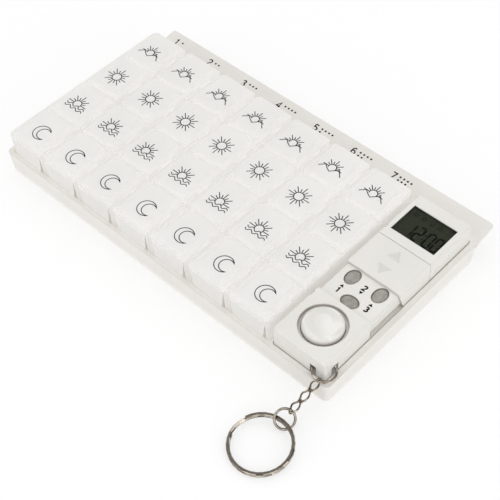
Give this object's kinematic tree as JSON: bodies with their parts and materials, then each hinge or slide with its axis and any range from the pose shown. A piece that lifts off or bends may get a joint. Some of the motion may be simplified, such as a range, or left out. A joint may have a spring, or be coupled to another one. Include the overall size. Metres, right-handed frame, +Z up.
{
  "type": "pill_organiser",
  "caption": "Weekly pill organiser: white tray, frosted day strips with hinged lids, and a removable alarm timer with display, buttons, sliding cover and key chain",
  "frame": {"origin": "Middle of the tray's underside, without the label flange", "axes": "X runs along the row of days towards the timer, Y away from the user towards the day numbers, Z up; millimetres in the source"},
  "size_m": [0.2372, 0.1809, 0.0296],
  "materials": {
    "tray_plastic": "warm white moulded plastic",
    "frosted_plastic": "translucent frosted plastic",
    "lid_plastic": "translucent frosted plastic",
    "timer_plastic": "plain white moulded plastic",
    "cover_plastic": "plain white moulded plastic",
    "dome_plastic": "polished white plastic",
    "clear_window": "clear plastic window",
    "display_glass": "dark reflective display",
    "contact_rubber": "striped contact rubber",
    "board": "coated circuit board",
    "switch_plastic": "black switch bodies",
    "buzzer_plastic": "black sounder body",
    "button_rubber": "grey rubber",
    "cell_metal": "wrapped cells",
    "spring_steel": "bright spring plates",
    "screw_steel": "plated screws",
    "ring_metal": "dark nickel plate",
    "chain_metal": "dark nickel plate"
  },
  "bodies": {
    "tray_body": {"tray": "tray_plastic"},
    "strip_body_1": {"strip_1": "frosted_plastic"},
    "lid_body_1_bedtime": {"lid_1_bedtime": "lid_plastic"},
    "lid_body_1_evening": {"lid_1_evening": "lid_plastic"},
    "lid_body_1_noon": {"lid_1_noon": "lid_plastic"},
    "lid_body_1_morning": {"lid_1_morning": "lid_plastic"},
    "strip_body_2": {"strip_2": "frosted_plastic"},
    "lid_body_2_bedtime": {"lid_2_bedtime": "lid_plastic"},
    "lid_body_2_evening": {"lid_2_evening": "lid_plastic"},
    "lid_body_2_noon": {"lid_2_noon": "lid_plastic"},
    "lid_body_2_morning": {"lid_2_morning": "lid_plastic"},
    "strip_body_3": {"strip_3": "frosted_plastic"},
    "lid_body_3_bedtime": {"lid_3_bedtime": "lid_plastic"},
    "lid_body_3_evening": {"lid_3_evening": "lid_plastic"},
    "lid_body_3_noon": {"lid_3_noon": "lid_plastic"},
    "lid_body_3_morning": {"lid_3_morning": "lid_plastic"},
    "strip_body_4": {"strip_4": "frosted_plastic"},
    "lid_body_4_bedtime": {"lid_4_bedtime": "lid_plastic"},
    "lid_body_4_evening": {"lid_4_evening": "lid_plastic"},
    "lid_body_4_noon": {"lid_4_noon": "lid_plastic"},
    "lid_body_4_morning": {"lid_4_morning": "lid_plastic"},
    "strip_body_5": {"strip_5": "frosted_plastic"},
    "lid_body_5_bedtime": {"lid_5_bedtime": "lid_plastic"},
    "lid_body_5_evening": {"lid_5_evening": "lid_plastic"},
    "lid_body_5_noon": {"lid_5_noon": "lid_plastic"},
    "lid_body_5_morning": {"lid_5_morning": "lid_plastic"},
    "strip_body_6": {"strip_6": "frosted_plastic"},
    "lid_body_6_bedtime": {"lid_6_bedtime": "lid_plastic"},
    "lid_body_6_evening": {"lid_6_evening": "lid_plastic"},
    "lid_body_6_noon": {"lid_6_noon": "lid_plastic"},
    "lid_body_6_morning": {"lid_6_morning": "lid_plastic"},
    "strip_body_7": {"strip_7": "frosted_plastic"},
    "lid_body_7_bedtime": {"lid_7_bedtime": "lid_plastic"},
    "lid_body_7_evening": {"lid_7_evening": "lid_plastic"},
    "lid_body_7_noon": {"lid_7_noon": "lid_plastic"},
    "lid_body_7_morning": {"lid_7_morning": "lid_plastic"},
    "timer_body": {"timer_upper_case": "timer_plastic", "timer_lower_case": "timer_plastic", "lcd_window": "clear_window", "lcd_panel": "display_glass", "lcd_connector": "contact_rubber", "circuit_board": "board", "button_switches": "switch_plastic", "buzzer": "buzzer_plastic", "battery_cells": "cell_metal", "battery_contacts": "spring_steel", "battery_door": "timer_plastic", "door_screw": "screw_steel", "case_screws": "screw_steel"},
    "cover_body": {"slide_cover": "cover_plastic"},
    "hour_button_body": {"hour_button": "button_rubber"},
    "minute_button_body": {"minute_button": "button_rubber"},
    "set_button_body": {"set_button": "button_rubber"},
    "alarm_button_body": {"alarm_button": "dome_plastic"},
    "corner_ring_body": {"corner_ring": "ring_metal"},
    "chain_link_body_1": {"chain_link_1": "chain_metal"},
    "chain_link_body_2": {"chain_link_2": "chain_metal"},
    "chain_link_body_3": {"chain_link_3": "chain_metal"},
    "jump_ring_body": {"jump_ring": "ring_metal"},
    "split_ring_body": {"split_ring": "ring_metal"}
  },
  "joints": [
    {"name": "strip_1_lift", "type": "slide", "parent": "tray_body", "child": "strip_body_1", "axis": [0, 0, 1], "range_m": [0, 0.04]},
    {"name": "lid_1_bedtime_hinge", "type": "hinge", "parent": "strip_body_1", "child": "lid_body_1_bedtime", "pos_m": [-0.11013, -0.04195, 0.0265], "axis": [0, -1, 0], "range_deg": [0, 90]},
    {"name": "lid_1_evening_hinge", "type": "hinge", "parent": "strip_body_1", "child": "lid_body_1_evening", "pos_m": [-0.11013, -0.01425, 0.0265], "axis": [0, -1, 0], "range_deg": [0, 90]},
    {"name": "lid_1_noon_hinge", "type": "hinge", "parent": "strip_body_1", "child": "lid_body_1_noon", "pos_m": [-0.11013, 0.01345, 0.0265], "axis": [0, -1, 0], "range_deg": [0, 90]},
    {"name": "lid_1_morning_hinge", "type": "hinge", "parent": "strip_body_1", "child": "lid_body_1_morning", "pos_m": [-0.11013, 0.04115, 0.0265], "axis": [0, -1, 0], "range_deg": [0, 90]},
    {"name": "strip_2_lift", "type": "slide", "parent": "tray_body", "child": "strip_body_2", "axis": [0, 0, 1], "range_m": [0, 0.04]},
    {"name": "lid_2_bedtime_hinge", "type": "hinge", "parent": "strip_body_2", "child": "lid_body_2_bedtime", "pos_m": [-0.08313, -0.04195, 0.0265], "axis": [0, -1, 0], "range_deg": [0, 90]},
    {"name": "lid_2_evening_hinge", "type": "hinge", "parent": "strip_body_2", "child": "lid_body_2_evening", "pos_m": [-0.08313, -0.01425, 0.0265], "axis": [0, -1, 0], "range_deg": [0, 90]},
    {"name": "lid_2_noon_hinge", "type": "hinge", "parent": "strip_body_2", "child": "lid_body_2_noon", "pos_m": [-0.08313, 0.01345, 0.0265], "axis": [0, -1, 0], "range_deg": [0, 90]},
    {"name": "lid_2_morning_hinge", "type": "hinge", "parent": "strip_body_2", "child": "lid_body_2_morning", "pos_m": [-0.08313, 0.04115, 0.0265], "axis": [0, -1, 0], "range_deg": [0, 90]},
    {"name": "strip_3_lift", "type": "slide", "parent": "tray_body", "child": "strip_body_3", "axis": [0, 0, 1], "range_m": [0, 0.04]},
    {"name": "lid_3_bedtime_hinge", "type": "hinge", "parent": "strip_body_3", "child": "lid_body_3_bedtime", "pos_m": [-0.05613, -0.04195, 0.0265], "axis": [0, -1, 0], "range_deg": [0, 90]},
    {"name": "lid_3_evening_hinge", "type": "hinge", "parent": "strip_body_3", "child": "lid_body_3_evening", "pos_m": [-0.05613, -0.01425, 0.0265], "axis": [0, -1, 0], "range_deg": [0, 90]},
    {"name": "lid_3_noon_hinge", "type": "hinge", "parent": "strip_body_3", "child": "lid_body_3_noon", "pos_m": [-0.05613, 0.01345, 0.0265], "axis": [0, -1, 0], "range_deg": [0, 90]},
    {"name": "lid_3_morning_hinge", "type": "hinge", "parent": "strip_body_3", "child": "lid_body_3_morning", "pos_m": [-0.05613, 0.04115, 0.0265], "axis": [0, -1, 0], "range_deg": [0, 90]},
    {"name": "strip_4_lift", "type": "slide", "parent": "tray_body", "child": "strip_body_4", "axis": [0, 0, 1], "range_m": [0, 0.04]},
    {"name": "lid_4_bedtime_hinge", "type": "hinge", "parent": "strip_body_4", "child": "lid_body_4_bedtime", "pos_m": [-0.02913, -0.04195, 0.0265], "axis": [0, -1, 0], "range_deg": [0, 90]},
    {"name": "lid_4_evening_hinge", "type": "hinge", "parent": "strip_body_4", "child": "lid_body_4_evening", "pos_m": [-0.02913, -0.01425, 0.0265], "axis": [0, -1, 0], "range_deg": [0, 90]},
    {"name": "lid_4_noon_hinge", "type": "hinge", "parent": "strip_body_4", "child": "lid_body_4_noon", "pos_m": [-0.02913, 0.01345, 0.0265], "axis": [0, -1, 0], "range_deg": [0, 90]},
    {"name": "lid_4_morning_hinge", "type": "hinge", "parent": "strip_body_4", "child": "lid_body_4_morning", "pos_m": [-0.02913, 0.04115, 0.0265], "axis": [0, -1, 0], "range_deg": [0, 90]},
    {"name": "strip_5_lift", "type": "slide", "parent": "tray_body", "child": "strip_body_5", "axis": [0, 0, 1], "range_m": [0, 0.04]},
    {"name": "lid_5_bedtime_hinge", "type": "hinge", "parent": "strip_body_5", "child": "lid_body_5_bedtime", "pos_m": [-0.00213, -0.04195, 0.0265], "axis": [0, -1, 0], "range_deg": [0, 90]},
    {"name": "lid_5_evening_hinge", "type": "hinge", "parent": "strip_body_5", "child": "lid_body_5_evening", "pos_m": [-0.00213, -0.01425, 0.0265], "axis": [0, -1, 0], "range_deg": [0, 90]},
    {"name": "lid_5_noon_hinge", "type": "hinge", "parent": "strip_body_5", "child": "lid_body_5_noon", "pos_m": [-0.00213, 0.01345, 0.0265], "axis": [0, -1, 0], "range_deg": [0, 90]},
    {"name": "lid_5_morning_hinge", "type": "hinge", "parent": "strip_body_5", "child": "lid_body_5_morning", "pos_m": [-0.00213, 0.04115, 0.0265], "axis": [0, -1, 0], "range_deg": [0, 90]},
    {"name": "strip_6_lift", "type": "slide", "parent": "tray_body", "child": "strip_body_6", "axis": [0, 0, 1], "range_m": [0, 0.04]},
    {"name": "lid_6_bedtime_hinge", "type": "hinge", "parent": "strip_body_6", "child": "lid_body_6_bedtime", "pos_m": [0.02488, -0.04195, 0.0265], "axis": [0, -1, 0], "range_deg": [0, 90]},
    {"name": "lid_6_evening_hinge", "type": "hinge", "parent": "strip_body_6", "child": "lid_body_6_evening", "pos_m": [0.02488, -0.01425, 0.0265], "axis": [0, -1, 0], "range_deg": [0, 90]},
    {"name": "lid_6_noon_hinge", "type": "hinge", "parent": "strip_body_6", "child": "lid_body_6_noon", "pos_m": [0.02488, 0.01345, 0.0265], "axis": [0, -1, 0], "range_deg": [0, 90]},
    {"name": "lid_6_morning_hinge", "type": "hinge", "parent": "strip_body_6", "child": "lid_body_6_morning", "pos_m": [0.02488, 0.04115, 0.0265], "axis": [0, -1, 0], "range_deg": [0, 90]},
    {"name": "strip_7_lift", "type": "slide", "parent": "tray_body", "child": "strip_body_7", "axis": [0, 0, 1], "range_m": [0, 0.04]},
    {"name": "lid_7_bedtime_hinge", "type": "hinge", "parent": "strip_body_7", "child": "lid_body_7_bedtime", "pos_m": [0.05187, -0.04195, 0.0265], "axis": [0, -1, 0], "range_deg": [0, 90]},
    {"name": "lid_7_evening_hinge", "type": "hinge", "parent": "strip_body_7", "child": "lid_body_7_evening", "pos_m": [0.05187, -0.01425, 0.0265], "axis": [0, -1, 0], "range_deg": [0, 90]},
    {"name": "lid_7_noon_hinge", "type": "hinge", "parent": "strip_body_7", "child": "lid_body_7_noon", "pos_m": [0.05187, 0.01345, 0.0265], "axis": [0, -1, 0], "range_deg": [0, 90]},
    {"name": "lid_7_morning_hinge", "type": "hinge", "parent": "strip_body_7", "child": "lid_body_7_morning", "pos_m": [0.05187, 0.04115, 0.0265], "axis": [0, -1, 0], "range_deg": [0, 90]},
    {"name": "timer_lift", "type": "slide", "parent": "tray_body", "child": "timer_body", "axis": [0, 0, 1], "range_m": [0, 0.045]},
    {"name": "cover_slide", "type": "slide", "parent": "timer_body", "child": "cover_body", "axis": [0, -1, 0], "range_m": [0, 0.02159]},
    {"name": "hour_button_press", "type": "slide", "parent": "timer_body", "child": "hour_button_body", "axis": [0, 0, -1], "range_m": [0, 0.0008], "stiffness_N_per_m": 150, "springref_m": -0.0002},
    {"name": "minute_button_press", "type": "slide", "parent": "timer_body", "child": "minute_button_body", "axis": [0, 0, -1], "range_m": [0, 0.0008], "stiffness_N_per_m": 150, "springref_m": -0.0002},
    {"name": "set_button_press", "type": "slide", "parent": "timer_body", "child": "set_button_body", "axis": [0, 0, -1], "range_m": [0, 0.0008], "stiffness_N_per_m": 150, "springref_m": -0.0002},
    {"name": "alarm_button_press", "type": "slide", "parent": "timer_body", "child": "alarm_button_body", "axis": [0, 0, -1], "range_m": [0, 0.001], "stiffness_N_per_m": 250, "springref_m": -0.0003},
    {"name": "corner_ring_swing", "type": "hinge", "parent": "timer_body", "child": "corner_ring_body", "pos_m": [0.10892, -0.0529, 0.0179], "axis": [-0.7547, -0.6561, 0], "range_deg": [0, 16]},
    {"name": "chain_link_1_swing", "type": "hinge", "parent": "corner_ring_body", "child": "chain_link_body_1", "pos_m": [0.10987, -0.05838, 0.01723], "axis": [-0.9841, 0.1777, 0], "range_deg": [0, 20]},
    {"name": "chain_link_2_swing", "type": "hinge", "parent": "chain_link_body_1", "child": "chain_link_body_2", "pos_m": [0.10902, -0.06308, 0.01412], "axis": [-0.9841, 0.1777, 0], "range_deg": [0, 14]},
    {"name": "chain_link_3_swing", "type": "hinge", "parent": "chain_link_body_2", "child": "chain_link_body_3", "pos_m": [0.10801, -0.06867, 0.01041], "axis": [-0.9841, 0.1777, 0], "range_deg": [0, 14]},
    {"name": "jump_ring_swing", "type": "hinge", "parent": "chain_link_body_3", "child": "jump_ring_body", "pos_m": [0.10712, -0.07362, 0.00712], "axis": [-0.9841, 0.1777, 0], "range_deg": [0, 20]},
    {"name": "split_ring_swing", "type": "hinge", "parent": "jump_ring_body", "child": "split_ring_body", "pos_m": [0.10316, -0.08075, 0.00554], "axis": [0, -0.0872, 0.9962], "range_deg": [-12, 8]}
  ]
}
